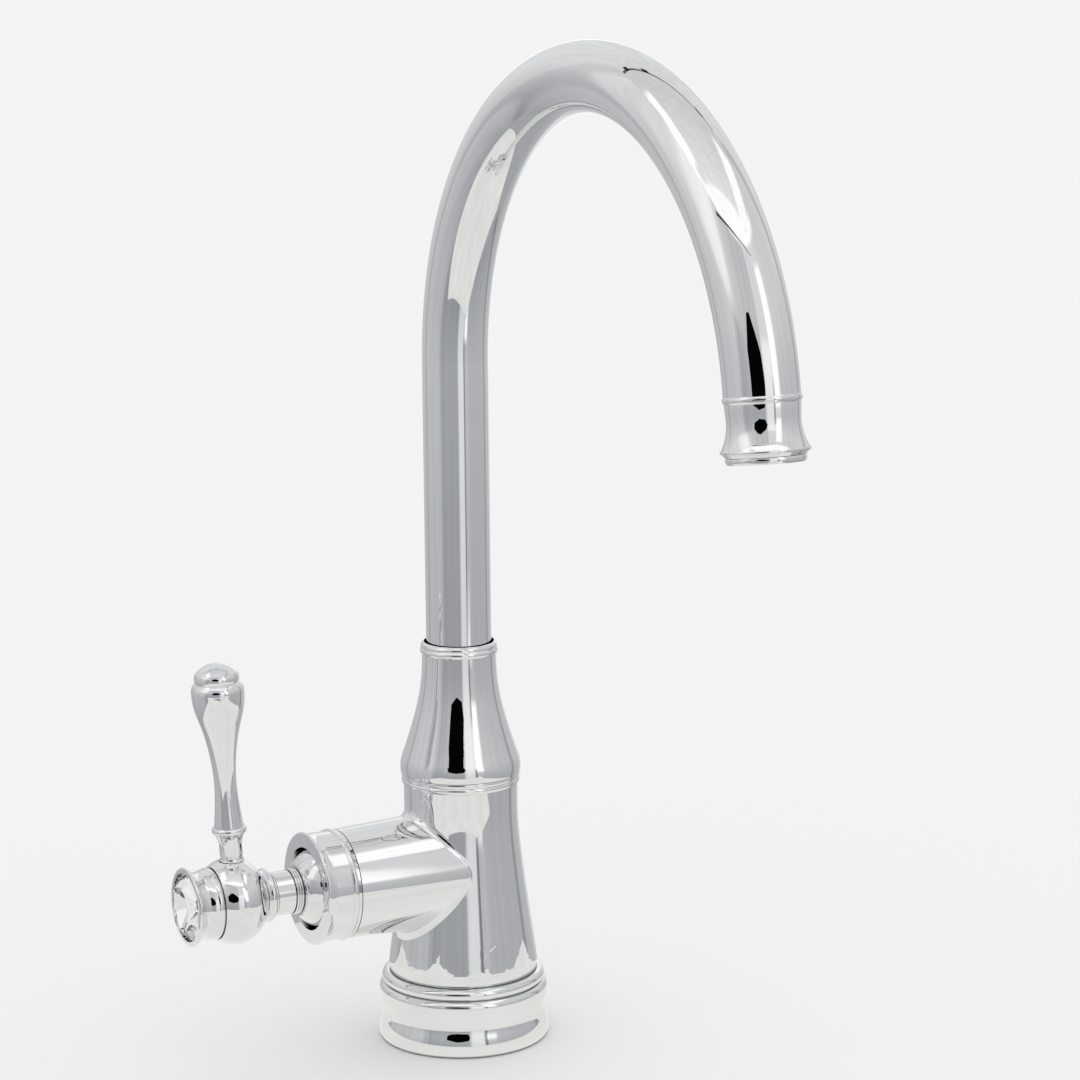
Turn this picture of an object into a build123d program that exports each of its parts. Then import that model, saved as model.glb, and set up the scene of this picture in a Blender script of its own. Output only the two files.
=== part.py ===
"""Three way kitchen mixer tap: a swivelling gooseneck spout on a bell-shaped bonnet, a turned
body with a side barrel, and one lever handle that mixes hot and cold or opens filtered water.

Millimetres. The origin is on the tap's upright axis at the worktop, +Z is up, the spout points
along -Y towards the user and the handle along -X.
"""

from build123d import *
import math
import os

# ---- Clearances, all measured on the radius or between faces ----
slip = 0.05  # a piece pushed or screwed into another
running = 0.05  # a piece that turns or slides in another
moving_gap = 0.3  # curved faces that sweep past each other

# ---- Underside: one fixing stud and three hose sockets ----
stud_hole_r = 3.4  # tapping size of M8
stud_hole_depth = 16.0
hose_hole_r = 4.5  # tapping size of M10 x 1
hose_hole_depth = 12.0
waterway_r = 2.5
waterway_spread = 7.8  # hose waterways stand this far from the axis both ways

# ---- Base ring: a skirt moulding round the body's foot ----
base_height = 26.5
base_contact_r = 30.6
base_torus_r = 33.0
base_torus_z = 2.9
base_cove_r = 31.2
base_cove_z = 11.6
base_bead_r = 32.5
base_bead_z = 18.3
base_groove_r = 30.6
base_groove_z = 22.3
base_foot_bow = 0.8
base_bead_round = 0.95  # how far the bead's shoulder bows out
base_lip_round = 2.0
gasket_width = 3.0
gasket_depth = 1.9
gasket_inset = 1.6  # metal left outside the gasket's groove

# ---- Body: turned column with a barrel on its side ----
spigot_r = 25.0  # the part inside the base ring
foot_r = 28.3
foot_roll = 5.0  # height of the rolled edge above the base ring
foot_top_r = 28.55
foot_bow = 0.28
cone_slope = 7.4  # degrees
cone_top_r = 23.15
cone_top_rise = 6.0  # above the barrel's axis
waist_r = 21.95
waist_length = 12.2  # nearly straight, up to the shoulder
body_blend = 3.5  # fillet where the barrel meets the column

barrel_z = 67.5
body_rise = 33.7  # from the barrel's axis to the shoulder
barrel_root_r = 22.9
barrel_end_r = 20.75
barrel_end_back = 4.5  # the barrel ends this far short of the lever's pivot
barrel_neck_r = 19.2
barrel_neck_length = 4.8
chamber_r = 17.7
seat_l = 25.0  # distance of the cartridge's seat from the tap's axis

# ---- Bonnet: the bell over the spout's swivel ----
neck_r = 19.0
neck_height = 9.8  # threaded neck above the body's shoulder
ring_height = 4.3  # two thin beads under the bonnet
ring_bead_r = 22.75
ring_groove_r = 22.3
ring_bore_r = 19.4
bonnet_r = 23.0
shoulder_height = 6.3
shoulder_r = 22.4
shoulder_bow = 0.4
shoulder_slope = 19.5  # degrees from upright where the flank meets the shoulder
bonnet_flank_r = 19.1
bonnet_flank_height = 10.1
bonnet_waist_r = 16.1
bonnet_waist_height = 11.0
bonnet_top_r = 14.2
bonnet_top_height = 19.1
collar_r = 14.95
collar_height = 2.2
collar_lip_r = 14.5
collar_lip_height = 2.2
collar_bore_r = 13.45
guide_height = 8.0
guide_depth = 6.0  # below the bonnet's top

# ---- Spout ----
tube_r = 12.5
tube_wall = 1.2
column_length = 148.9  # of the straight tube, above its flange
arc_r = 110.2
arc_sweep = 172.4
socket_r = 11.0
socket_depth = 24.0
flange_r = 17.5
flange_height = 3.0
washer_height = 1.0
nipple_bore_r = 7.5
nipple_spigot = 12.0
seal_section_r = 1.3
seal_proud = 0.03  # how far each seal stands out of its groove
seal_heights = (7.0, 15.0)  # above the socket's floor
filter_r = 4.0
filter_bore_r = 2.75
filter_socket_depth = 24.5

# ---- Nozzle, measured down its own axis from the end of the tube ----
nozzle_bead_r = 13.0
nozzle_bead_height = 2.4
nozzle_neck_r = 12.0
nozzle_neck_at = 8.5
nozzle_rim_r = 14.45
nozzle_rim_at = 17.6
nozzle_rim_height = 1.2
nozzle_length = 19.2
nozzle_spigot = 3.0
nozzle_bore_r = 10.9
aerator_lip_r = 13.2
aerator_tip_r = 12.6
aerator_lip = 2.3
aerator_shell_r = 10.0  # inside of the aerator's shell
aerator_seat_at = 4.5
aerator_gasket_height = 1.5
aerator_core_r = 3.8
aerator_rings_r = 7.0
aerator_fin = 0.7
aerator_fins = 18
aerator_fin_depth = 6.0
aerator_recess = 1.0

# ---- End cap of the barrel, measured out from the joint with the barrel ----
cap_bead_r = 21.3
cap_bead_at = 2.5
cap_bead_height = 2.2
cap_neck_r = 20.6
cap_flare_at = 10.0
cap_rim_r = 21.4
cap_rim_at = 13.2
cap_face_at = 14.1
cap_face_r = 20.6
cap_mouth_r = 15.8
cap_lip = 3.9

# ---- Cartridge, stacked on its seat along the barrel ----
cartridge_base = 4.5
port_pocket_r = 4.3
port_seal_r = 3.5
port_seal_section_r = 0.6
peg_r = 1.5
peg_height = 2.0
fixed_disc = 3.5
moving_disc = 3.0
moving_disc_r = 12.4
carrier = 6.0
carrier_gap = 0.3
rotor_flange = 2.7
rotor_neck_r = 10.2
rotor_top = 4.5  # past the pivot
housing_wall = 1.9
housing_roof = 1.0
housing_collar_r = 12.5
housing_collar = 5.8
roof_gap = 0.2
nut_height = 3.3
nut_notch = 4.0

# ---- Handle ----
pivot_rise = 11.0  # from the turret's flange to the centre of the dome and of the tilt
tilt_max = 20.0
pin_r = 1.5
pin_length = 19.0
stem_side = 7.0
stem_rod_r = 2.75
stem_tip_r = 3.2
stem_tip_depth = 4.4  # of the tip's centre, from the carrier's underside
stem_boss_r = 4.6
stem_in_hub = 6.6
dome_wall = 1.4
dome_skirt = 92.0  # degrees from the pole
dome_flat_r = 8.9
sleeve_r = 8.25
sleeve_foot_r = 8.45
sleeve_foot_bead = 0.95
sleeve_foot_beads = 3
sleeve_length = 11.5
hub_ring_r = 10.2
hub_ring = 2.3
hub_collar = 2.6
hub_offset = 14.2  # from the sleeve's end to the ball's centre
hub_r = 16.35
hub_half_in = 12.9  # the ball is a little flatter than a sphere
hub_half_out = 14.3
hub_front = 7.9  # from the ball's centre to the joint with the front cap
hub_spigot_r = 10.0
hub_spigot = 2.5
grub_r = 2.0
grub_back = 4.8  # from the sleeve's end

# ---- Front cap, bezel and crystal, measured out from the hub's joint ----
bezel_mid_r = 13.3
bezel_mid_at = 2.5
bezel_neck_r = 12.4
bezel_neck_at = 5.3
bezel_rim_r = 14.6
bezel_rim_at = 9.8
bezel_face_at = 10.9
bezel_flare = 35.0  # degrees
crystal_r = 12.9
crystal_ledge_at = 9.1
crystal_girdle = 0.9
crystal_crown = 3.2
crystal_table_r = 7.8
crystal_pavilion = 6.2
crystal_culet_r = 1.5
crystal_sides = 8

# ---- Lever, measured up its own leaning axis from the handle's axis ----
lever_back = 1.0  # that axis crosses the handle's this far behind the ball's centre
lever_lean = 3.3
lever_seat = 15.2
lever_foot_r = 4.6
lever_foot = 0.9
lever_neck_r = 4.3
lever_neck_top = 21.5
lever_flare_r = 5.8
lever_flare_top = 26.4
lever_ring_r = 6.55
lever_ring_top = 29.0
lever_stud_r = 2.6
lever_stud = 8.0
grip_foot_r = 5.5
grip_waist_r = 4.2
grip_waist_at = 46.5
grip_swell_r = 7.7
grip_swell_at = 69.0
grip_r = 9.9
grip_r_at = 80.6
grip_shoulder_r = 8.1
grip_top = 84.6
finial_foot_r = 8.15
finial_bead = 3.6
finial_bead_top_r = 7.75
finial_dome_r = 7.55
finial_dome = 3.2
finial_stud_r = 2.5
finial_stud = 6.0


# ---- Drawing helpers ----
class Outline:
    """Half section of a turned piece, as radius and height, drawn from its first corner."""

    def __init__(self, radius, height):
        self.first = self.last = (radius, height)
        self.edges = []

    def _add(self, edge, corner):
        self.edges.append(edge)
        self.last = corner
        return self

    def line(self, radius, height):
        return self._add(Line(self.last, (radius, height)), (radius, height))

    def arc(self, radius, height, bow):
        """Round stretch that bows by this much to the right of the way it is drawn."""
        (r0, h0), (r1, h1) = self.last, (radius, height)
        span = math.hypot(r1 - r0, h1 - h0)
        middle = ((r0 + r1) / 2 + bow * (h1 - h0) / span, (h0 + h1) / 2 - bow * (r1 - r0) / span)
        return self._add(ThreePointArc(self.last, middle, (r1, h1)), (r1, h1))

    def flow(self, points, leave, arrive):
        """Fair curve through the points, with its direction at both ends in degrees from upright."""
        ends = [(math.sin(math.radians(a)), math.cos(math.radians(a))) for a in (leave, arrive)]
        return self._add(Spline([self.last, *points], tangents=ends), points[-1])

    def ellipse(self, half_r, half_h, centre_h, height):
        """Quarter or less of an ellipse about a centre on the axis."""
        start = math.degrees(math.acos(max(-1.0, min(1.0, self.last[0] / half_r))))
        start = math.copysign(start, self.last[1] - centre_h)
        end = math.degrees(math.asin(max(-1.0, min(1.0, (height - centre_h) / half_h))))
        arc = EllipticalCenterArc((0, centre_h), half_r, half_h, start, arc_size=end - start)
        radius = round(half_r * math.cos(math.radians(end)), 9)
        return self._add(arc, (radius, height))

    def turn(self):
        """Close the section and turn it about the upright axis."""
        if self.last != self.first:
            self.line(*self.first)
        return revolve(Plane.XZ * make_face(self.edges), Axis.Z)


def rod(radius, low, high, x=0.0, y=0.0):
    """Upright cylinder between two heights."""
    at_foot = (Align.CENTER, Align.CENTER, Align.MIN)
    return Pos(x, y, low) * Cylinder(radius, high - low, align=at_foot)


def ring(outer, inner, low, high):
    return rod(outer, low, high) - rod(inner, low, high)


def block(x_low, x_high, y_low, y_high, z_low, z_high):
    middle = Pos((x_low + x_high) / 2, (y_low + y_high) / 2, (z_low + z_high) / 2)
    return middle * Box(x_high - x_low, y_high - y_low, z_high - z_low)


def seal(major, section, height):
    return Pos(0, 0, height) * Torus(major, section)


def on_barrel(shape):
    """Lay an upright piece on the handle's axis: its height runs outward, its x runs up."""
    return Pos(0, 0, barrel_z) * Rot(0, -90, 0) * shape


def on_lever(shape):
    """Stand an upright piece on the lever's leaning axis."""
    return Pos(-lever_l, 0, barrel_z) * Rot(0, -lever_lean, 0) * shape


def on_nozzle(shape):
    """Hang an upright piece on the spout's end: its height runs down the stream."""
    return Pos(0, -arc_r, column_top_z) * Rot(arc_sweep, 0, 0) * Pos(0, arc_r, 0) * shape


def sphere_height(radius, offset):
    return math.sqrt(radius**2 - offset**2)


# ---- Sizes that follow from the ones above ----
body_height = barrel_z + body_rise
neck_top = body_height + neck_height
socket_floor = neck_top - socket_depth
flange_low = neck_top + washer_height
flange_top = flange_low + flange_height
tube_bore = tube_r - tube_wall
column_top_z = flange_top + column_length
bonnet_step_z = flange_top + washer_height
shoulder_top = body_height + ring_height + shoulder_height
bonnet_top_z = shoulder_top + bonnet_flank_height + bonnet_waist_height + bonnet_top_height

hot_port = (-7.0, -waterway_spread)  # height over the barrel's axis, and across
cold_port = (-7.0, waterway_spread)
filtered_port = (4.5, waterway_spread)
mixed_port = (9.5, -5.8)
filter_port = (-1.5, 0.0)
ports = (hot_port, cold_port, filtered_port, mixed_port, filter_port)
pegs = ((13.5, 4.0), (-14.0, 0.0))

fixed_disc_l = seat_l + cartridge_base
moving_disc_l = fixed_disc_l + fixed_disc
carrier_l = moving_disc_l + moving_disc
carrier_top = carrier_l + carrier
flange_l = carrier_top + carrier_gap
roof_l = flange_l + rotor_flange + roof_gap
housing_shoulder = roof_l + housing_roof
pivot_l = flange_l + rotor_flange + pivot_rise
stem_tip_l = carrier_l + stem_tip_depth
housing_r = chamber_r - moving_gap
housing_bore = housing_r - housing_wall
disc_travel = (pivot_l - stem_tip_l) * math.radians(tilt_max)
disc_rest = -disc_travel / 2

barrel_length = pivot_l - barrel_end_back
barrel_neck_l = barrel_length + barrel_neck_length
cap_face_l = barrel_length + cap_face_at
cap_lip_l = cap_face_l - cap_lip
dome_r = math.hypot(cap_mouth_r - moving_gap, cap_lip_l - pivot_l)
dome_flat_l = pivot_l + sphere_height(dome_r, dome_flat_r)
stem_hole = stem_side + 2 * slip
sleeve_end_l = dome_flat_l + sleeve_length
grub_l = sleeve_end_l - grub_back
stem_end_l = sleeve_end_l + stem_in_hub
hub_ring_l = sleeve_end_l + hub_ring
hub_collar_l = hub_ring_l + hub_collar
hub_l = sleeve_end_l + hub_offset
hub_seam_l = hub_l + hub_front
lever_l = hub_l - lever_back
bezel_neck_l = hub_seam_l + bezel_neck_at
crystal_ledge_l = hub_seam_l + crystal_ledge_at


# ---- The fixed part of the tap ----
def make_base_ring():
    """Skirt moulding: a torus foot, a long cove, a bead and a lip under the body."""
    bore = spigot_r + slip
    skirt = Outline(bore, 0)
    skirt.line(base_contact_r, 0)
    skirt.arc(base_torus_r, base_torus_z, base_foot_bow)
    cove = [(base_cove_r, base_cove_z), (base_bead_r, base_bead_z)]
    skirt.flow(cove, 0, 0)
    skirt.arc(base_groove_r, base_groove_z, base_bead_round)
    skirt.arc(foot_r, base_height, base_lip_round)
    skirt.line(bore, base_height)
    return skirt.turn() - ring(gasket_r + slip, gasket_bore - slip, 0, gasket_depth)


gasket_r = base_contact_r - gasket_inset
gasket_bore = gasket_r - gasket_width


def make_base_gasket():
    """Flat rubber ring in the skirt's underside."""
    return ring(gasket_r, gasket_bore, 0, gasket_depth)


def make_column():
    """Outside of the body's upright column, from the spigot to the threaded neck."""
    foot_top = base_height + foot_roll
    flank = [
        (cone_top_r, barrel_z + cone_top_rise),
        (waist_r, body_height - waist_length),
        (waist_r, body_height),
    ]
    column = Outline(0, spigot_low)
    column.line(spigot_r, spigot_low)
    column.line(spigot_r, base_height)
    column.line(foot_r, base_height)
    column.arc(foot_top_r, foot_top, foot_bow)
    column.flow(flank, -cone_slope, 0)
    column.line(neck_r, body_height)
    column.line(neck_r, neck_top)
    column.line(0, neck_top)
    return column.turn()


def make_barrel():
    """Outside of the side barrel, with the neck that takes its end cap."""
    barrel = Outline(0, 0)
    barrel.line(barrel_root_r, 0)
    barrel.line(barrel_end_r, barrel_length)
    barrel.line(barrel_neck_r, barrel_length)
    barrel.line(barrel_neck_r, barrel_neck_l)
    barrel.line(0, barrel_neck_l)
    return on_barrel(barrel.turn())


def make_waterways():
    """Drillings between the hose sockets, the cartridge's seat and the spout's socket."""
    ways = []
    for (up, across), side in ((hot_port, -1), (cold_port, -1), (filtered_port, 1)):
        x = side * waterway_spread
        level = barrel_z + up
        ways.append(rod(hose_hole_r, 0, hose_hole_depth, x, across))
        ways.append(rod(waterway_r, 0, level, x, across))
        ways.append(on_barrel(rod(waterway_r, -x, seat_l, up, across)))
    up, across = mixed_port
    ways.append(rod(waterway_r, barrel_z + up, socket_floor, across, across))
    ways.append(on_barrel(rod(waterway_r, -across, seat_l, up, across)))
    up, across = filter_port
    ways.append(on_barrel(rod(waterway_r, 0, seat_l, up, across)))
    for up, across in pegs:
        ways.append(on_barrel(rod(peg_r + slip, seat_l - peg_height, seat_l, up, across)))
    return ways


def make_body():
    """Heavy brass body: column and barrel in one, bored for the cartridge and the spout."""
    column = make_column()
    barrel = make_barrel()
    body = column + barrel
    meeting = new_edges(column, barrel, combined=body)
    body = fillet(meeting, body_blend)
    filter_socket = rod(filter_r + running, socket_floor - filter_socket_depth, socket_floor)
    filter_pocket = rod(filter_seal_r + slip, socket_floor - filter_seal_height, socket_floor)
    hollows = [
        rod(socket_r, socket_floor, neck_top),
        filter_socket,
        filter_pocket,
        on_barrel(rod(chamber_r, seat_l, barrel_neck_l)),
        rod(stud_hole_r, 0, stud_hole_depth),
        *make_waterways(),
    ]
    for hollow in hollows:
        body -= hollow
    return body


spigot_low = 1.0  # the spigot stops short of the worktop
filter_seal_r = 5.1
filter_seal_height = 2.4


def make_seam_ring():
    """Two thin beads between the body's shoulder and the bonnet."""
    bead = ring_height / 2
    beads = Outline(ring_bore_r, body_height)
    beads.line(ring_groove_r, body_height)
    for number in (1, 2):
        beads.arc(ring_groove_r, body_height + number * bead, ring_bead_r - ring_groove_r)
    beads.line(ring_bore_r, body_height + ring_height)
    return beads.turn()


def make_bonnet():
    """Bell screwed on the body's neck; a shoulder inside it holds the spout's flange down."""
    low = body_height + ring_height
    flank_top = shoulder_top + bonnet_flank_height
    throat = collar_bore_r - slip
    bell = Outline(neck_r + slip, low)
    bell.line(bonnet_r, low)
    bell.arc(shoulder_r, shoulder_top, shoulder_bow)
    flank = [
        (bonnet_flank_r, flank_top),
        (bonnet_waist_r, flank_top + bonnet_waist_height),
        (bonnet_top_r, bonnet_top_z),
    ]
    bell.flow(flank, -shoulder_slope, 0)
    bell.line(throat, bonnet_top_z)
    bell.line(throat, bonnet_step_z)
    bell.line(flange_r + moving_gap, bonnet_step_z)
    bell.line(flange_r + moving_gap, neck_top + moving_gap)
    bell.line(neck_r + slip, neck_top + moving_gap)
    return bell.turn()


def make_collar_ring():
    """Beaded collar on top of the bonnet, round the foot of the spout."""
    bead_top = bonnet_top_z + collar_height
    collar = Outline(collar_bore_r, bonnet_top_z)
    collar.line(collar_lip_r, bonnet_top_z)
    collar.arc(collar_lip_r, bead_top, collar_r - collar_lip_r)
    collar.arc(collar_bore_r, bead_top + collar_lip_height, collar_lip_round)
    return collar.turn()


collar_lip_round = 0.55


def make_washer(bore, low):
    """Thin glide washer against the spout's flange."""
    return ring(flange_r, bore + running, low, low + washer_height)


def make_guide_ring():
    """Plastic sleeve in the bonnet's throat that keeps the spout upright."""
    outer = collar_bore_r - 2 * slip
    top = bonnet_top_z - guide_depth
    return ring(outer, tube_r + running, top - guide_height, top)


def make_filter_seal():
    low = socket_floor - filter_seal_height
    return ring(filter_seal_r, filter_r + running, low, socket_floor)


# ---- The cartridge in the barrel ----
def make_cartridge_base():
    """Plastic seat with five ports, a ring pocket round each, and two locating pegs."""
    base = rod(housing_r, seat_l, fixed_disc_l)
    for up, across in ports:
        base -= rod(waterway_r, seat_l, fixed_disc_l, up, across)
        base -= rod(port_pocket_r, seat_l, seat_l + port_pocket, up, across)
    for up, across in pegs:
        base += rod(peg_r, seat_l - peg_height, seat_l, up, across)
    return on_barrel(base)


port_pocket = 2 * port_seal_section_r


def make_port_seals():
    """Rubber rings squeezed between the cartridge's seat and the body."""
    level = seat_l + port_seal_section_r
    rings = [
        Pos(up, across, level) * Torus(port_seal_r, port_seal_section_r) for up, across in ports
    ]
    return on_barrel(Compound(rings))


def make_fixed_disc():
    """Lower ceramic disc, drilled over the five ports."""
    disc = rod(housing_bore - slip, fixed_disc_l, moving_disc_l)
    for up, across in ports:
        disc -= rod(waterway_r, fixed_disc_l, moving_disc_l, up, across)
    return on_barrel(disc)


def make_moving_disc():
    """Upper ceramic disc: a kidney recess joins the mixing ports, a slot the filtered ones."""
    disc = rod(moving_disc_r, moving_disc_l, carrier_l, disc_rest)
    depth = moving_disc_l + disc_recess
    mixing = [rod(waterway_r, moving_disc_l, depth, up, -across) for up, across in mixing_path]
    filtered = rod(waterway_r, moving_disc_l, depth, 0, waterway_spread)
    for hollow in (*mixing, filtered, *make_drive_tabs(slip)):
        disc -= hollow
    return on_barrel(disc)


disc_recess = 1.8
mixing_path = ((1.5, 3.0), (3.0, 0.5))
drive_tab = 3.0
drive_tab_depth = 1.5


def make_drive_tabs(clearance):
    """Two tabs of the carrier that turn the moving disc, one on each side of it."""
    half = drive_tab / 2 + clearance
    low = carrier_l - drive_tab_depth - clearance
    inner = moving_disc_r - drive_tab - clearance
    round_off = rod(moving_disc_r, low, carrier_l, disc_rest)
    tabs = []
    for side in (-1, 1):
        near, far = sorted((side * inner, side * moving_disc_r))
        tabs.append(block(disc_rest - half, disc_rest + half, near, far, low, carrier_l) & round_off)
    return tabs


def make_disc_carrier():
    """Plastic carrier: a pocket for the stem's tip, two grooves that slide on the rotor's keys."""
    body = rod(moving_disc_r, carrier_l, carrier_top, disc_rest)
    for tab in make_drive_tabs(0):
        body += tab
    body -= rod(stem_tip_r + tip_gap, stem_tip_l - stem_tip_r - tip_gap, carrier_top)
    for side in (-1, 1):
        middle = side * key_offset
        half = key_width / 2 + key_gap
        groove_low = flange_l - key_depth - moving_gap
        body -= block(-chamber_r, chamber_r, middle - half, middle + half, groove_low, carrier_top)
    return on_barrel(body)


tip_gap = 0.25
key_offset = 8.5
key_width = 3.0
key_gap = 0.1
key_depth = 1.5
key_length = 16.0


def make_cartridge_housing():
    """Plastic can over the discs, with a collar the rotor turns in."""
    can = Outline(housing_bore, fixed_disc_l)
    can.line(housing_r, fixed_disc_l)
    can.line(housing_r, housing_shoulder)
    can.line(housing_collar_r, housing_shoulder)
    can.line(housing_collar_r, housing_shoulder + housing_collar)
    can.line(rotor_neck_r + running, housing_shoulder + housing_collar)
    can.line(rotor_neck_r + running, roof_l)
    can.line(housing_bore, roof_l)
    return on_barrel(can.turn())


def make_retaining_nut():
    """Brass nut that holds the cartridge down, notched for its key."""
    top = housing_shoulder + nut_height
    nut = ring(chamber_r - slip, housing_collar_r + moving_gap, housing_shoulder, top)
    half = nut_notch / 2
    for number in range(nut_notch_pairs):
        notch = block(-chamber_r, chamber_r, -half, half, top - nut_notch_depth, top)
        nut -= Rot(0, 0, 180 * number / nut_notch_pairs) * notch
    return on_barrel(nut)


nut_notch_depth = 1.4
nut_notch_pairs = 4


def make_barrel_cap():
    """Chromed end cap: a bead, a plain neck and a flared rim round a deep round mouth."""
    bead_low = barrel_length + cap_bead_at - cap_bead_height / 2
    skirt_bore = barrel_neck_r + slip
    cavity_r = dome_r + 2 * moving_gap
    cap = Outline(skirt_bore, barrel_length)
    cap.line(barrel_end_r - cap_edge, barrel_length)
    cap.line(barrel_end_r, barrel_length + cap_edge)
    cap.line(cap_neck_r, bead_low)
    cap.arc(cap_neck_r, bead_low + cap_bead_height, cap_bead_r - cap_neck_r)
    cap.line(cap_neck_r, barrel_length + cap_flare_at)
    cap.flow([(cap_rim_r, barrel_length + cap_rim_at)], 0, cap_flare_angle)
    cap.arc(cap_face_r, cap_face_l, cap_edge)
    cap.line(cap_mouth_r, cap_face_l)
    cap.line(cap_mouth_r, cap_lip_l)
    cap.line(cavity_r, cap_lip_l)
    cap.line(cavity_r, barrel_neck_l)
    cap.line(skirt_bore, barrel_neck_l)
    return on_barrel(cap.turn())


cap_edge = 0.3
cap_flare_angle = 25.0


# ---- The swivelling spout ----
def bend(outer):
    """Solid of the spout's round bend, in the plane over the tap's axis."""
    section = Pos(0, 0, column_top_z) * Circle(outer)
    hub_axis = Axis((0, -arc_r, column_top_z), (1, 0, 0))
    return revolve(section, hub_axis, arc_sweep)


def make_spout_tube():
    """Bent brass tube: a straight column and one long round bend."""
    walls = [rod(size, flange_top, column_top_z) + bend(size) for size in (tube_r, tube_bore)]
    return walls[0] - walls[1]


def make_spout_nipple():
    """Turned foot of the spout: a sealed stem, a swivel flange and a spigot in the tube."""
    stem_r = socket_r - running
    low = socket_floor + 1
    nipple = ring(stem_r, nipple_bore_r, low, flange_low)
    nipple += ring(flange_r, nipple_bore_r, flange_low, flange_top)
    nipple += ring(tube_bore - slip, nipple_bore_r, flange_top, flange_top + nipple_spigot)
    groove_bore = stem_r + seal_proud - 2 * seal_section_r
    for height in seal_heights:
        middle = socket_floor + height
        half = seal_section_r
        nipple -= ring(stem_r, groove_bore, middle - half, middle + half)
    return nipple


def make_spout_seals():
    """Two rubber rings in the nipple's grooves."""
    major = socket_r - running + seal_proud - seal_section_r
    return Compound([seal(major, seal_section_r, socket_floor + height) for height in seal_heights])


def make_filter_tube():
    """Inner hose of the filtered water, from its own socket up through the spout to the outlet."""
    low = socket_floor - filter_socket_depth + 1
    walls = []
    for size in (filter_r, filter_bore_r):
        end = on_nozzle(rod(size, 0, filter_end))
        walls.append(rod(size, low, column_top_z) + bend(size) + end)
    return walls[0] - walls[1]


filter_end = 16.0


def make_nozzle():
    """Bell-mouthed end of the spout: a thin bead, a hollow neck and a flared rim."""
    rim_low = nozzle_rim_at - nozzle_rim_height / 2
    rim_top = nozzle_rim_at + nozzle_rim_height / 2
    nozzle = Outline(nozzle_spigot_bore, -nozzle_spigot)
    nozzle.line(tube_bore - solder_gap, -nozzle_spigot)
    nozzle.line(tube_bore - solder_gap, 0)
    nozzle.line(tube_r, 0)
    nozzle.arc(tube_r - nozzle_waist_step, nozzle_bead_height, nozzle_bead_r - tube_r)
    nozzle.flow([(nozzle_neck_r, nozzle_neck_at), (nozzle_rim_r, rim_low)], 0, nozzle_flare)
    nozzle.arc(nozzle_rim_r - nozzle_edge, rim_top, nozzle_edge)
    nozzle.line(aerator_lip_r, nozzle_length)
    nozzle.line(nozzle_bore_r, nozzle_length)
    nozzle.line(nozzle_bore_r, aerator_seat_at)
    nozzle.line(nozzle_spigot_bore, aerator_seat_at)
    return on_nozzle(nozzle.turn())


nozzle_spigot_bore = 9.6
solder_gap = 0.12
nozzle_waist_step = 0.2
nozzle_flare = 32.0
nozzle_edge = 0.35
aerator_body = nozzle_bore_r - slip
aerator_low = aerator_seat_at + aerator_gasket_height


def make_aerator_seal():
    return on_nozzle(ring(aerator_body, nozzle_spigot_bore, aerator_seat_at, aerator_low))


def make_aerator_shell():
    """Threaded sleeve in the nozzle, with the rolled lip that shows below it."""
    tip = nozzle_length + aerator_lip
    shell = Outline(aerator_shell_r, aerator_low)
    shell.line(aerator_body, aerator_low)
    shell.line(aerator_body, nozzle_length)
    shell.line(aerator_lip_r - nozzle_edge, nozzle_length)
    shell.arc(aerator_tip_r, tip, nozzle_edge)
    shell.line(aerator_shell_r - aerator_ledge, tip)
    shell.line(aerator_shell_r - aerator_ledge, tip - aerator_recess)
    shell.line(aerator_shell_r, tip - aerator_recess)
    return on_nozzle(shell.turn())


aerator_ledge = 0.6


def make_aerator_insert():
    """Plastic jet straightener: fins for the mixed stream round the filtered water's outlet."""
    low = nozzle_length + aerator_lip - aerator_recess
    high = low - aerator_fin_depth
    outer = aerator_shell_r - slip
    insert = ring(outer, outer - aerator_fin, high, low)
    insert += ring(aerator_rings_r + aerator_fin, aerator_rings_r, high, low)
    core = aerator_core_r + filter_r - filter_bore_r
    insert += ring(core, filter_bore_r, high, low)
    for number in range(aerator_fins):
        fin = block(core - aerator_fin, outer - aerator_fin / 2, -half_fin, half_fin, high, low)
        insert += Rot(0, 0, 360 / aerator_fins * number) * fin
    insert -= rod(filter_r + slip, high, filter_end)
    return on_nozzle(insert)


half_fin = aerator_fin / 2


# ---- What turns and tilts in the barrel ----
def make_rotor():
    """Plastic turret that carries the lever's pivot and turns the discs by two keys."""
    top = pivot_l + rotor_top
    turret = rod(housing_bore - moving_gap, flange_l, flange_l + rotor_flange)
    turret += rod(rotor_neck_r, flange_l, top)
    for side in (-1, 1):
        middle = side * key_offset
        edges = (middle - key_width / 2, middle + key_width / 2)
        turret += block(-key_length / 2, key_length / 2, *edges, flange_l - key_depth, flange_l)
    half = stem_side / 2 + slot_gap
    swing = (pivot_l - flange_l) * math.sin(math.radians(tilt_max)) + stem_rod_r
    boss = stem_boss_r + moving_gap
    tip_swing = (pivot_l - stem_tip_l) * math.sin(math.radians(tilt_max)) + stem_tip_r
    flange_top_l = flange_l + rotor_flange
    turret -= block(-stem_rod_r - slot_low, swing + slot_low, -half, half, flange_l, pivot_l)
    turret -= block(0, tip_swing + slot_low, -half, half, flange_l, flange_top_l)
    turret -= block(-boss, boss, -half, half, pivot_l - boss, top)
    turret -= block(-boss - slot_low, boss, -half, half, pivot_l, top)
    turret -= Pos(0, 0, pivot_l) * Rot(90, 0, 0) * Cylinder(pin_r, 2 * rotor_neck_r)
    return on_barrel(turret)


slot_gap = 0.15
slot_low = 0.5


def make_pivot_pin():
    """Steel pin across the turret, the axis of the lever's tilt."""
    return on_barrel(Pos(0, 0, pivot_l) * Rot(90, 0, 0) * Cylinder(pin_r, pin_length))


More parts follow.
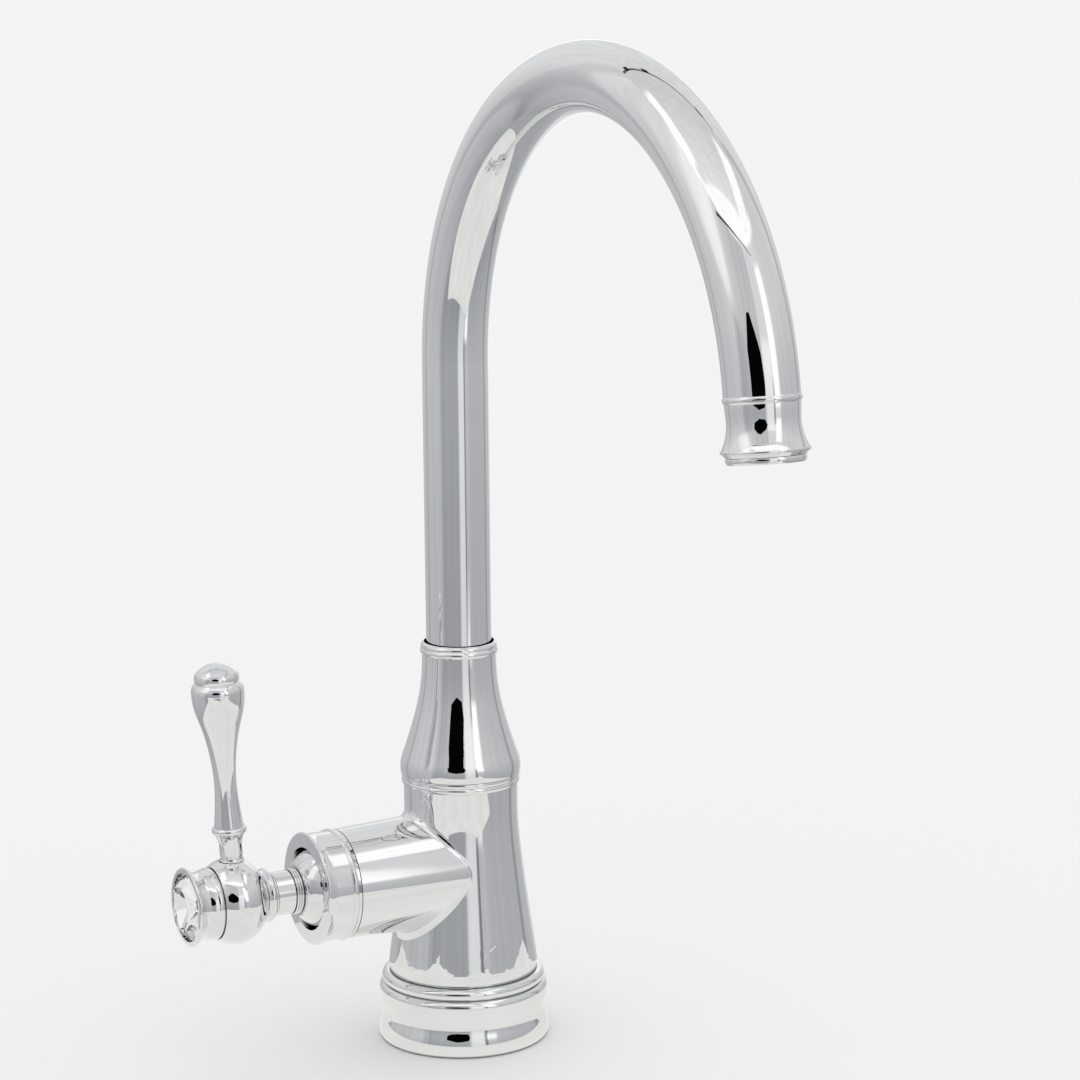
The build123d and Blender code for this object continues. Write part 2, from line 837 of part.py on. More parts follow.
def make_stem():
    """Steel stem: a ball tip in the carrier, a boss on the pin and a square shank outside."""
    half = stem_side / 2
    stem = Pos(0, 0, stem_tip_l) * Sphere(stem_tip_r)
    stem += rod(stem_rod_r, stem_tip_l, pivot_l)
    stem += Pos(0, 0, pivot_l) * Rot(90, 0, 0) * Cylinder(stem_boss_r, stem_side)
    stem += block(-half, half, -half, half, pivot_l, stem_end_l)
    stem -= Pos(0, 0, pivot_l) * Rot(90, 0, 0) * Cylinder(pin_r + running, stem_side)
    return on_barrel(stem)


def make_dome():
    """Chromed guide dome that fills the cap's mouth at every tilt of the lever."""
    shell = Sphere(dome_r) - Sphere(dome_r - dome_wall)
    keep = dome_r * math.cos(math.radians(dome_skirt))
    shell = Pos(0, 0, pivot_l) * shell
    shell &= rod(2 * dome_r, pivot_l + keep, dome_flat_l)
    web_low = dome_flat_l - dome_wall
    shell += rod(sphere_height(dome_r - dome_wall / 2, web_low - pivot_l), web_low, dome_flat_l)
    side = stem_hole / 2
    shell -= block(-side, side, -side, side, web_low, dome_flat_l)
    return on_barrel(shell)


def make_sleeve():
    """Turned sleeve over the shank, with fine beads at the dome and one at the hub."""
    foot_top = dome_flat_l + sleeve_foot_beads * sleeve_foot_bead
    bead_low = sleeve_end_l - sleeve_bead
    outline = Outline(0, dome_flat_l)
    outline.line(sleeve_foot_r, dome_flat_l)
    for number in range(sleeve_foot_beads):
        bead_top = dome_flat_l + (number + 1) * sleeve_foot_bead
        outline.arc(sleeve_foot_r, bead_top, sleeve_foot_bow)
    outline.line(sleeve_r - sleeve_groove, foot_top)
    outline.line(sleeve_r - sleeve_groove, foot_top + sleeve_groove)
    outline.line(sleeve_r, foot_top + sleeve_groove)
    outline.line(sleeve_r, bead_low)
    outline.arc(sleeve_r + sleeve_groove, sleeve_end_l, sleeve_bead_bow)
    outline.line(0, sleeve_end_l)
    side = stem_hole / 2
    sleeve = outline.turn() - block(-side, side, -side, side, dome_flat_l, sleeve_end_l)
    sleeve -= make_grub(grub_r + slip, sleeve_r + sleeve_groove)
    return on_barrel(sleeve)


sleeve_foot_bow = 0.25
sleeve_bead = 1.4
sleeve_bead_bow = 0.45
sleeve_groove = 0.5


def make_grub(radius, far):
    """Cross rod from the shank's flat to a given distance under the handle's axis."""
    near = stem_side / 2
    return Pos(-(near + far) / 2, 0, grub_l) * Rot(0, 90, 0) * Cylinder(radius, far - near)


def make_grub_screw():
    """Socket screw from below that clamps the sleeve to the stem."""
    far = sleeve_r - sleeve_groove
    socket = extrude(RegularPolygon(grub_key / 2, 6, major_radius=False), grub_key)
    screw = make_grub(grub_r, far) - Pos(-far, 0, grub_l) * Rot(0, 90, 0) * socket
    return on_barrel(screw)


grub_key = 2.0


def hub_radius(l):
    half = hub_half_in if l < hub_l else hub_half_out
    return hub_r * math.sqrt(1 - ((l - hub_l) / half) ** 2)


def make_ball_hub():
    """Round hub of the handle: a bead and a cove under a slightly flattened ball."""
    ball = Outline(0, sleeve_end_l)
    ball.line(hub_ring_r - hub_ring_bow, sleeve_end_l)
    ball.arc(hub_ring_r - hub_ring_bow, hub_ring_l, hub_ring_bow)
    ball.arc(hub_radius(hub_collar_l), hub_collar_l, -hub_cove)
    ball.ellipse(hub_r, hub_half_in, hub_l, hub_l)
    ball.ellipse(hub_r, hub_half_out, hub_l, hub_seam_l)
    ball.line(0, hub_seam_l)
    side = stem_hole / 2
    hub = ball.turn()
    hub -= block(-side, side, -side, side, sleeve_end_l, stem_end_l + slip)
    hub -= rod(hub_spigot_r + slip, hub_seam_l - hub_spigot, hub_seam_l)
    seat = rod(lever_foot_r + lever_seat_edge, lever_seat, 2 * hub_r)
    seat += rod(lever_stud_r + slip, lever_seat - lever_stud, 2 * hub_r)
    return on_barrel(hub) - on_lever(seat)


hub_ring_bow = 0.5
hub_cove = 0.35
lever_seat_edge = 0.3


# ---- The lever ----
def make_lever_neck():
    """Turned foot of the lever: a small flange, a flared neck and a bead under the grip."""
    foot_top = lever_seat + lever_foot
    neck = Outline(0, lever_seat - lever_stud)
    neck.line(lever_stud_r, lever_seat - lever_stud)
    neck.line(lever_stud_r, lever_seat)
    neck.line(lever_foot_r, lever_seat)
    neck.line(lever_foot_r, foot_top)
    neck.arc(lever_neck_r, lever_neck_mid, -lever_foot_cove)
    neck.line(lever_neck_r, lever_neck_top)
    neck.arc(lever_flare_r, lever_flare_top, -lever_flare_cove)
    neck.arc(lever_flare_r, lever_ring_top, lever_ring_r - lever_flare_r)
    neck.line(lever_stud_r, lever_ring_top)
    neck.line(lever_stud_r, lever_ring_top + lever_stud)
    neck.line(0, lever_ring_top + lever_stud)
    return on_lever(neck.turn())


lever_neck_mid = 18.0
lever_foot_cove = 0.25
lever_flare_cove = 0.45


def make_lever_grip():
    """Slim vase-shaped grip, thin at the waist and full near the top."""
    grip = Outline(0, lever_ring_top)
    grip.line(grip_foot_r, lever_ring_top)
    swell = [(grip_waist_r, grip_waist_at), (grip_swell_r, grip_swell_at), (grip_r, grip_r_at)]
    grip.flow(swell, -grip_foot_slope, 0)
    grip.arc(grip_shoulder_r, grip_top, grip_shoulder_bow)
    grip.line(0, grip_top)
    solid = grip.turn()
    solid -= rod(lever_stud_r + slip, lever_ring_top, lever_ring_top + lever_stud + moving_gap)
    solid -= rod(finial_stud_r + slip, grip_top - finial_stud - moving_gap, grip_top)
    return on_lever(solid)


grip_shoulder_bow = 0.6
grip_foot_slope = 6.0  # degrees inward


def make_lever_finial():
    """Button on the grip: a broad bead round a shallow dome."""
    bead_top = grip_top + finial_bead
    dome_size = (finial_dome_r**2 + finial_dome**2) / (2 * finial_dome)
    half_span = math.hypot(finial_dome_r, finial_dome) / 2
    button = Outline(0, grip_top - finial_stud)
    button.line(finial_stud_r, grip_top - finial_stud)
    button.line(finial_stud_r, grip_top)
    button.line(finial_foot_r, grip_top)
    button.arc(finial_bead_top_r, bead_top, finial_bead_bow)
    button.line(finial_dome_r, bead_top)
    button.arc(0, bead_top + finial_dome, dome_size - sphere_height(dome_size, half_span))
    return on_lever(button.turn())


finial_bead_bow = 0.45


# ---- The front of the hub ----
def make_front_cap():
    """Turned cap on the hub's front, past a fine shadow groove, hollowed for the crystal's point."""
    seam_r = hub_radius(hub_seam_l)
    cap = Outline(0, hub_seam_l - hub_spigot)
    cap.line(hub_spigot_r, hub_seam_l - hub_spigot)
    cap.line(hub_spigot_r, hub_seam_l)
    cap.line(seam_r - seam_depth, hub_seam_l)
    cap.line(seam_r - seam_depth, hub_seam_l + seam_width)
    cap.line(seam_r - cap_edge, hub_seam_l + seam_width)
    cap.arc(bezel_mid_r, hub_seam_l + bezel_mid_at, cap_edge)
    cap.arc(bezel_neck_r, bezel_neck_l, cap_edge / 2)
    cap.line(bezel_throat_r, bezel_neck_l)
    cap.line(0, hub_seam_l + front_hollow)
    return on_barrel(cap.turn())


bezel_throat_r = 10.0
front_hollow = 1.0
seam_width = 0.45
seam_depth = 0.7
girdle_top = crystal_ledge_l + crystal_girdle


def make_crystal_bezel():
    """Flared ring that grips the crystal by its girdle."""
    setting_r = crystal_r + slip
    bezel = Outline(bezel_throat_r, bezel_neck_l)
    bezel.line(bezel_neck_r, bezel_neck_l)
    face = hub_seam_l + bezel_face_at
    bezel.flow([(bezel_rim_r, hub_seam_l + bezel_rim_at)], 0, bezel_flare)
    bezel.arc(bezel_rim_r - bezel_edge, face, bezel_edge)
    bezel.line(setting_r, face)
    bezel.line(setting_r, crystal_ledge_l)
    bezel.line(crystal_r, crystal_ledge_l)
    return on_barrel(bezel.turn())


bezel_edge = 0.45


def make_crystal():
    """Brilliant-cut round glass stone with a flat table."""
    point_l = crystal_ledge_l - crystal_pavilion
    table_l = girdle_top + crystal_crown
    stone = rod(crystal_r, point_l, table_l)
    main = math.degrees(math.atan2(crystal_crown, crystal_r - crystal_table_r))
    under = math.degrees(math.atan2(crystal_pavilion, crystal_r - crystal_culet_r))
    half = 180 / crystal_sides
    flat_r = crystal_r * math.cos(math.radians(half / 2))
    for number in range(crystal_sides):
        turn = 2 * half * number
        cuts = [
            (turn, crystal_r, girdle_top, main),
            (turn + half, crystal_table_r, table_l, main - star_lean),
            (turn + half / 2, crystal_r, girdle_top, main + girdle_lean),
            (turn - half / 2, crystal_r, girdle_top, main + girdle_lean),
            (turn, flat_r, crystal_ledge_l, -under),
            (turn + half, flat_r, crystal_ledge_l, -under - girdle_lean),
        ]
        for around, radius, height, lean in cuts:
            stone -= make_facet(around, radius, height, lean)
    return on_barrel(stone)


star_lean = 11.0
girdle_lean = 5.0


def make_facet(around, radius, height, lean):
    """Half space beyond a facet, leaning in over (or, below zero, under) the stone."""
    away = 1 if lean > 0 else -1
    cutter = Pos(0, 0, away * crystal_r) * Box(*[2 * crystal_r] * 3)
    return Rot(0, 0, around) * Pos(radius, 0, height) * Rot(0, lean, 0) * cutter


# ---- All the pieces ----
pieces = {
    "base_ring": make_base_ring(),
    "base_gasket": make_base_gasket(),
    "body": make_body(),
    "seam_ring": make_seam_ring(),
    "bonnet": make_bonnet(),
    "collar_ring": make_collar_ring(),
    "lower_glide_washer": make_washer(socket_r, neck_top),
    "upper_glide_washer": make_washer(tube_r, flange_top),
    "guide_ring": make_guide_ring(),
    "filter_seal": make_filter_seal(),
    "cartridge_base": make_cartridge_base(),
    "port_seals": make_port_seals(),
    "fixed_disc": make_fixed_disc(),
    "cartridge_housing": make_cartridge_housing(),
    "retaining_nut": make_retaining_nut(),
    "barrel_cap": make_barrel_cap(),
    "spout_tube": make_spout_tube(),
    "spout_nipple": make_spout_nipple(),
    "spout_seals": make_spout_seals(),
    "filter_tube": make_filter_tube(),
    "nozzle": make_nozzle(),
    "aerator_seal": make_aerator_seal(),
    "aerator_shell": make_aerator_shell(),
    "aerator_insert": make_aerator_insert(),
    "moving_disc": make_moving_disc(),
    "disc_carrier": make_disc_carrier(),
    "rotor": make_rotor(),
    "pivot_pin": make_pivot_pin(),
    "stem": make_stem(),
    "dome": make_dome(),
    "sleeve": make_sleeve(),
    "grub_screw": make_grub_screw(),
    "ball_hub": make_ball_hub(),
    "lever_neck": make_lever_neck(),
    "lever_grip": make_lever_grip(),
    "lever_finial": make_lever_finial(),
    "front_cap": make_front_cap(),
    "crystal_bezel": make_crystal_bezel(),
    "crystal": make_crystal(),
}

os.makedirs("parts", exist_ok=True)
for name, shape in pieces.items():
    export_step(shape, f"parts/{name}.step")
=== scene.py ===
import math

import bmesh
import bpy
from mathutils import Matrix, Vector


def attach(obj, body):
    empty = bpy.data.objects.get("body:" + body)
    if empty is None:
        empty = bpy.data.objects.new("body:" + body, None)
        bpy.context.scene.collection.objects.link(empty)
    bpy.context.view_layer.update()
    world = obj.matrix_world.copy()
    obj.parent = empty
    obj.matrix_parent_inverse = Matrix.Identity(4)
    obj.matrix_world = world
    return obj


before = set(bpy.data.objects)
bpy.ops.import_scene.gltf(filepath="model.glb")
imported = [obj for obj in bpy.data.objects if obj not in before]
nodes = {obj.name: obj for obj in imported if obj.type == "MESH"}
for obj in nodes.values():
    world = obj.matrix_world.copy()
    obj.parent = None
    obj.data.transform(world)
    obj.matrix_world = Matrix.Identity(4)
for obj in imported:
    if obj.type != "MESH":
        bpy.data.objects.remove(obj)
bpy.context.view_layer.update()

mm = 0.001

# ---- Base ring and gasket -------------------------------------------------------------------
# The skirt moulding that the tap stands on, turned from brass, polished and chromed. It slips
# over the body's spigot. A ring of black rubber in its underside seals it to the worktop.


class Finish:
    """One material: its shader's own values, and the nodes that vary it over the surface."""

    def __init__(self, name, **values):
        self.material = bpy.data.materials.new(name)
        self.material.use_nodes = True
        self.tree = self.material.node_tree
        self.shader = self.tree.nodes["Principled BSDF"]
        for socket, value in values.items():
            feed(self.tree, self.shader.inputs[socket.replace("_", " ")], value)

    def add(self, kind, settings=None, **inputs):
        return add_node(self.tree, kind, settings, **inputs)

    def vary(self, socket, source):
        """Drive one of the shader's sockets by a node's output."""
        self.tree.links.new(source, self.shader.inputs[socket])
        return self

    def blend(self, mask, low, high):
        """Go from one colour to another by a mask."""
        mix = self.add("ShaderNodeMix", {"data_type": "RGBA"}, Factor=mask, A=low, B=high)
        return mix.outputs["Result"]

    def tint(self, mask, low, high):
        """Shade the base colour from one tone to another by a mask."""
        return self.vary("Base Color", self.blend(mask, low, high))

    def relief(self, height, depth, strength=1.0):
        """Raise the surface by a height from nought to one, times a depth in metres."""
        bump = self.add("ShaderNodeBump", Height=height, Distance=depth, Strength=strength)
        return self.vary("Normal", bump.outputs["Normal"])

    def effect(self, effect, **inputs):
        """Use a node group, and return its outputs."""
        return self.add("ShaderNodeGroup", {"node_tree": effect.tree}, **inputs).outputs

    def on(self, *names):
        """Put the material on nodes of the tap."""
        for name in names:
            mesh = nodes[name].data
            mesh.materials.clear()
            mesh.materials.append(self.material)


def add_node(tree, kind, settings=None, **inputs):
    """Node with its settings, whose inputs are each a value or another node's output."""
    node = tree.nodes.new(kind)
    for setting, value in (settings or {}).items():
        setattr(node, setting, value)
    for name, value in inputs.items():
        sockets = [s for s in node.inputs if s.name == name.replace("_", " ") and s.enabled]
        feed(tree, sockets[0], value)
    return node


def feed(tree, socket, value):
    """Give a socket another node's output, or a value of its own, colours without their alpha."""
    if isinstance(value, bpy.types.NodeSocket):
        tree.links.new(value, socket)
    elif socket.type == "RGBA":
        socket.default_value = (*value, 1)
    else:
        socket.default_value = value


def compute(tree, operation, *values):
    """Result of one sum on values and other nodes' outputs."""
    node = tree.nodes.new("ShaderNodeMath")
    node.operation = operation
    for socket, value in zip(node.inputs, values):
        feed(tree, socket, value)
    return node.outputs[0]


class Effect:
    """Shader node group: named inputs with their usual values, and named outputs."""

    def __init__(self, name, inputs, outputs):
        self.tree = bpy.data.node_groups.new(name, "ShaderNodeTree")
        add_socket = self.tree.interface.new_socket
        for socket, value in inputs.items():
            given = add_socket(socket, in_out="INPUT", socket_type="NodeSocketFloat")
            given.default_value = value
        for socket in outputs:
            add_socket(socket, in_out="OUTPUT", socket_type="NodeSocketFloat")
        self.given = self.tree.nodes.new("NodeGroupInput").outputs
        self.result = self.tree.nodes.new("NodeGroupOutput").inputs
        self.place = self.tree.nodes.new("ShaderNodeTexCoord").outputs["Object"]

    def add(self, kind, settings=None, **inputs):
        return add_node(self.tree, kind, settings, **inputs)

    def noise(self, waves, detail=2.0, stretch=None):
        """Clouds with this many waves to the metre, or fewer along an axis that is stretched."""
        place = self.place
        if stretch:
            place = self.add("ShaderNodeMapping", Vector=place, Scale=stretch).outputs[0]
        noise = self.add("ShaderNodeTexNoise", Vector=place, Scale=waves, Detail=detail)
        return noise.outputs["Fac"]

    def math(self, operation, *values):
        return compute(self.tree, operation, *values)

    def times(self, value, factor):
        return self.math("MULTIPLY", value, factor)

    def remap(self, value, low, high, to_low=0.0, to_high=1.0):
        """Stretch one range of values over another, and cut off what lies outside."""
        ends = {"From_Min": low, "From_Max": high, "To_Min": to_low, "To_Max": to_high}
        return self.add("ShaderNodeMapRange", Value=value, **ends).outputs["Result"]

    def put(self, socket, source):
        self.tree.links.new(source, self.result[socket])


# Polishing marks: hazy patches where the mop pressed less, and hair-fine scratches.
polish = Effect(
    "polish", {"Gloss": 0.02, "Haze": 0.03, "Scratches": 0.3}, ("Patches", "Roughness", "Height")
)
patches = polish.remap(polish.noise(28.0, 3.0), 0.35, 0.7)
hairs = polish.noise(900.0, stretch=(1.0, 1.0, 0.06))
cross_hairs = polish.noise(700.0, stretch=(0.08, 1.0, 1.0))
hairs = polish.remap(polish.math("MAXIMUM", hairs, cross_hairs), 0.6, 0.8)
hairs = polish.times(hairs, polish.given["Scratches"])
mist = polish.math("ADD", polish.times(patches, 0.7), hairs)
mist = polish.math("MULTIPLY_ADD", mist, polish.given["Haze"], polish.given["Gloss"])
swell = polish.noise(240.0, 1.0)
polish.put("Patches", patches)
polish.put("Roughness", mist)
polish.put("Height", polish.math("MULTIPLY_ADD", swell, 0.8, polish.times(hairs, -0.2)))

# Grain of a moulded surface: fine pebbles under a slower unevenness.
grain = Effect("grain", {"Pebbles": 2500.0}, ("Clouds", "Height"))
clouds = grain.noise(60.0, 3.0)
cells = grain.add("ShaderNodeTexVoronoi", Vector=grain.place, Scale=grain.given["Pebbles"])
pebbles = cells.outputs["Distance"]
grain.put("Clouds", clouds)
grain.put("Height", grain.math("MULTIPLY_ADD", pebbles, 0.6, grain.times(clouds, 0.4)))

# Chrome with polishing marks, and painted shade that darkens it in the narrow joints between its
# pieces.
joint_width = 1.6 * mm
chrome = Finish("chrome", Metallic=1.0)
marks = chrome.effect(polish, Gloss=0.012, Haze=0.03, Scratches=0.35)
bright = chrome.blend(marks["Patches"], (0.81, 0.815, 0.82), (0.785, 0.79, 0.80))
# Painted shade: where ambient occlusion finds a joint closed in, the base colour goes nearly
# black.
air = chrome.add("ShaderNodeAmbientOcclusion", {"samples": 6}, Distance=joint_width)
painted_joint_shade = chrome.add(
    "ShaderNodeMapRange", Value=air.outputs["AO"], From_Min=0.72, From_Max=0.2
)
chrome.tint(painted_joint_shade.outputs["Result"], bright, (0.05, 0.052, 0.056))
chrome.vary("Roughness", marks["Roughness"]).relief(marks["Height"], 0.0002 * mm)
chrome.on("base_ring")

black_rubber = Finish("black_rubber", Specular_IOR_Level=0.35, Roughness=0.58)
marks = black_rubber.effect(grain, Pebbles=3200.0)
black_rubber.tint(marks["Clouds"], (0.012, 0.012, 0.013), (0.035, 0.034, 0.033))
black_rubber.relief(marks["Height"], 0.04 * mm, 0.6)
black_rubber.on("base_gasket")

# ---- Body -----------------------------------------------------------------------------------
# Hot-stamped brass column with the cartridge's barrel on its side, machined, polished and
# chromed in one piece. Hoses screw into three tapped holes in its foot, and a stud into a fourth.

hose_hole_r = 4.5 * mm
hose_hole_spread = 7.8 * mm
hose_hole_depth = 12.0 * mm
hose_pitch = 1.0 * mm
stud_hole_r = 3.4 * mm
stud_hole_depth = 15.0 * mm
stud_pitch = 1.25 * mm
body_foot = 1.0 * mm
chrome.on("body")


def screw_thread(name, radius, depth, pitch, across=(0, 0)):
    """Ridge that a tap leaves up a hole: one small triangle screwed up inside the wall."""
    ridge = bmesh.new()
    half = 0.42 * pitch
    corners = [(radius, -half), (radius - 0.38 * pitch, 0.0), (radius, half)]
    verts = [ridge.verts.new((r, 0, z)) for r, z in corners]
    edges = [ridge.edges.new((verts[i], verts[(i + 1) % 3])) for i in range(3)]
    around = 40
    steps = round((depth / pitch - 1.2) * around)
    bmesh.ops.spin(
        ridge,
        geom=verts + edges,
        axis=(0, 0, 1),
        dvec=(0, 0, pitch / around),
        angle=math.tau * steps / around,
        steps=steps,
        use_merge=False,
    )
    bmesh.ops.holes_fill(ridge, edges=[e for e in ridge.edges if e.is_boundary], sides=3)
    bmesh.ops.recalc_face_normals(ridge, faces=ridge.faces)
    bmesh.ops.translate(ridge, vec=(*across, body_foot + 0.7 * pitch), verts=ridge.verts)
    piece(name, ridge, "tap", bare_brass)


def piece(name, shape, body, finish, smooth_below=40):
    """Turn a finished bmesh into an object that rides on a body of the tap."""
    made = stand(name, shape, finish.material)
    made.data.shade_smooth()
    made.data.set_sharp_from_angle(angle=math.radians(smooth_below))
    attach(made, body)


def stand(name, shape, material):
    """Object of a bmesh and its material, in the scene."""
    mesh = bpy.data.meshes.new(name)
    shape.to_mesh(mesh)
    shape.free()
    mesh.materials.append(material)
    made = bpy.data.objects.new(name, mesh)
    bpy.context.scene.collection.objects.link(made)
    return made


# Turned brass: rings left by the tool, seen across the light, with darker oxidised patches.
lathe = Effect("lathe", {"Gloss": 0.2, "Pitch": 4000.0}, ("Patches", "Roughness", "Height"))
offset = lathe.add("ShaderNodeVectorMath", {"operation": "LENGTH"})
lathe.tree.links.new(lathe.place, offset.inputs[0])
rings = lathe.math("SINE", lathe.times(offset.outputs["Value"], lathe.given["Pitch"]))
rings = lathe.math("MULTIPLY_ADD", rings, 0.5, 0.5)
blotches = lathe.noise(110.0, 4.0)
specks = lathe.times(lathe.noise(1500.0), 0.3)
lathe.put("Patches", lathe.remap(blotches, 0.35, 0.7))
lathe.put("Roughness", lathe.math("MULTIPLY_ADD", blotches, 0.22, lathe.given["Gloss"]))
lathe.put("Height", lathe.math("MULTIPLY_ADD", rings, 0.7, specks))

bare_brass = Finish("bare_brass", Metallic=1.0)
marks = bare_brass.effect(lathe, Gloss=0.16, Pitch=9000.0)
bare_brass.tint(marks["Patches"], (0.80, 0.62, 0.32), (0.62, 0.44, 0.20))
bare_brass.vary("Roughness", marks["Roughness"]).relief(marks["Height"], 0.006 * mm)

for water, x, y in (("hot", -1, -1), ("cold", -1, 1), ("filtered", 1, 1)):
    across = (x * hose_hole_spread, y * hose_hole_spread)
    screw_thread(f"{water}_hose_thread", hose_hole_r, hose_hole_depth, hose_pitch, across)
screw_thread("stud_thread", stud_hole_r, stud_hole_depth, stud_pitch)

# ---- Bonnet, its seam ring and collar -------------------------------------------------------
# The bell that screws down over the swivel of the spout. Two thin beads close its joint with
# the body, and a collar finishes its top. All turned brass, chromed.

chrome.on("seam_ring", "bonnet", "collar_ring")

# ---- Swivel washers and guide ring ----------------------------------------------------------
# White acetal rings that the spout turns on: one under its flange, one above, and a sleeve at
# the top of the bonnet that keeps the tube upright. Moulded, slightly waxy.

acetal = Finish(
    "white_acetal", Roughness=0.38, Subsurface_Weight=0.08, Subsurface_Scale=2.0 * mm
)
marks = acetal.effect(grain, Pebbles=1800.0)
acetal.tint(marks["Clouds"], (0.86, 0.86, 0.83), (0.80, 0.80, 0.76))
acetal.relief(marks["Height"], 0.01 * mm, 0.5)
acetal.on("lower_glide_washer", "upper_glide_washer", "guide_ring", "disc_carrier")

# ---- Cartridge ------------------------------------------------------------------------------
# The mixing cartridge in the barrel: a moulded base with rubber seals on its ports, a fixed and
# a moving disc of lapped ceramic, a turret that turns them, and a housing held by a brass nut.

cartridge_plastic = Finish("cartridge_plastic", Roughness=0.42)
marks = cartridge_plastic.effect(grain, Pebbles=2200.0)
cartridge_plastic.tint(marks["Clouds"], (0.76, 0.75, 0.70), (0.66, 0.65, 0.61))
cartridge_plastic.relief(marks["Height"], 0.012 * mm, 0.5)
cartridge_plastic.on("cartridge_base", "cartridge_housing", "rotor")

ceramic = Finish("lapped_ceramic", Coat_Weight=0.4, Coat_Roughness=0.05)
marks = ceramic.effect(polish, Gloss=0.12, Haze=0.12, Scratches=0.5)
ceramic.tint(marks["Patches"], (0.90, 0.89, 0.86), (0.84, 0.83, 0.80))
ceramic.vary("Roughness", marks["Roughness"]).relief(marks["Height"], 0.001 * mm)
ceramic.on("fixed_disc", "moving_disc")

steel = Finish("turned_steel", Metallic=1.0)
marks = steel.effect(lathe, Gloss=0.2, Pitch=12000.0)
steel.tint(marks["Patches"], (0.60, 0.60, 0.61), (0.48, 0.48, 0.49))
steel.vary("Roughness", marks["Roughness"]).relief(marks["Height"], 0.003 * mm)
steel.on("pivot_pin", "stem", "grub_screw")

black_rubber.on("port_seals", "filter_seal", "spout_seals", "aerator_seal")
bare_brass.on("retaining_nut", "spout_nipple")
chrome.on("barrel_cap")

# ---- Spout ----------------------------------------------------------------------------------
# Drawn brass tube, bent to a swan neck and chromed, on a turned nipple with two rubber seals.
# The filtered water has a tube of its own inside, so the two never meet in the tap.

chrome.on("spout_tube")
hose_plastic = Finish(
    "filter_hose", Roughness=0.3, Subsurface_Weight=0.15, Subsurface_Scale=3.0 * mm
)
marks = hose_plastic.effect(grain, Pebbles=900.0)
hose_plastic.tint(marks["Clouds"], (0.84, 0.89, 0.92), (0.76, 0.83, 0.88))
hose_plastic.relief(marks["Height"], 0.008 * mm, 0.5)
hose_plastic.on("filter_tube")

# ---- Nozzle and aerator ---------------------------------------------------------------------
# The bell mouth soldered to the end of the tube, with the aerator screwed into it: a chromed
# shell round a moulded insert whose fins calm the stream.

chrome.on("nozzle", "aerator_shell")
aerator_plastic = Finish("aerator_plastic", Roughness=0.35)
marks = aerator_plastic.effect(grain, Pebbles=2600.0)
aerator_plastic.tint(marks["Clouds"], (0.70, 0.71, 0.71), (0.58, 0.59, 0.60))
aerator_plastic.relief(marks["Height"], 0.01 * mm, 0.5)
aerator_plastic.on("aerator_insert")

# ---- Handle ---------------------------------------------------------------------------------
# A dome that tilts in the barrel's mouth, a sleeve clamped on the stem by a grub screw, and the
# ball that carries the lever on its top and the crystal on its front. Turned brass, chromed.

chrome.on("dome", "sleeve", "ball_hub", "front_cap")

# ---- Crystal and bezel ----------------------------------------------------------------------
# A brilliant-cut glass stone, clamped by its girdle in a flared ring. Its back is silvered, so
# that it throws the light out again.

chrome.on("crystal_bezel")
glass = Finish("cut_crystal", Base_Color=(0.97, 0.98, 0.985), Transmission_Weight=1.0, IOR=1.49)
marks = glass.effect(polish, Gloss=0.0, Haze=0.012, Scratches=0.4)
glass.vary("Roughness", marks["Roughness"])
glass.on("crystal")

silver = Finish("silvering", Metallic=1.0)
marks = silver.effect(polish, Gloss=0.03, Haze=0.08, Scratches=0.2)
silver.vary("Roughness", marks["Roughness"])
fresh = silver.blend(marks["Patches"], (0.95, 0.95, 0.94), (0.90, 0.90, 0.88))

# After three reflections in the stone the silver turns black and glows with the tent's mean level,
# a painted light, since the renderer soon stops following the light and would leave those facets
# black.
reflections = 2.5
mean_level = 0.62
path = silver.add("ShaderNodeLightPath")
spent = compute(silver.tree, "GREATER_THAN", path.outputs["Glossy Depth"], reflections)
silver.tint(spent, fresh, (0, 0, 0))
silver.vary("Emission Strength", compute(silver.tree, "MULTIPLY", spent, mean_level))

# The silver lies on the girdle and on the facets behind it, which face the hub.
foil_gap = 0.02 * mm
foil_thickness = 0.015 * mm
foil = bmesh.new()
foil.from_mesh(nodes["crystal"].data)
bmesh.ops.remove_doubles(foil, verts=foil.verts, dist=0.01 * mm)
front = [face for face in foil.faces if face.normal.x < -0.1]
bmesh.ops.delete(foil, geom=front, context="FACES")
for vert in foil.verts:
    vert.co += foil_gap * vert.normal
bmesh.ops.solidify(foil, geom=foil.faces[:], thickness=-foil_thickness)
bmesh.ops.recalc_face_normals(foil, faces=foil.faces)

# The faces come out of these steps in any order, so they are put in one that stays the same.
foil.verts.index_update()
ordered = sorted(foil.faces, key=lambda face: sorted(vert.index for vert in face.verts))
rank = {face: number for number, face in enumerate(ordered)}
foil.faces.sort(key=rank.get)
piece("crystal_silvering", foil, "handle", silver, smooth_below=1)

# ---- Lever ----------------------------------------------------------------------------------
# The neck, the swelling grip and the domed button that closes it, each turned and chromed and
# screwed one into the next.

chrome.on("lever_neck", "lever_grip", "lever_finial")

# ---- Camera ---------------------------------------------------------------------------------
# A long lens a little above the worktop, turned to the tap as the photograph shows it.

spin = Matrix.Rotation(math.radians(-26.2), 3, "Z")
across = spin @ Vector((0.99959143, -0.02730984, -0.00843501))
upward = spin @ Vector((0.01343156, 0.18831103, 0.98201759))
ahead = spin @ Vector((0.02523034, 0.98172966, -0.18860091))
eye = spin @ Vector((0, -1.218469, 0.428988))
camera = bpy.data.objects.new("camera", bpy.data.cameras.new("camera"))
bpy.context.scene.collection.objects.link(camera)
camera.data.sensor_width = 36
camera.data.lens = 108.912
camera.data.clip_end = 100
turn = Matrix((across, upward, -ahead)).transposed().to_4x4()
camera.matrix_world = Matrix.Translation(eye) @ turn
bpy.context.scene.camera = camera

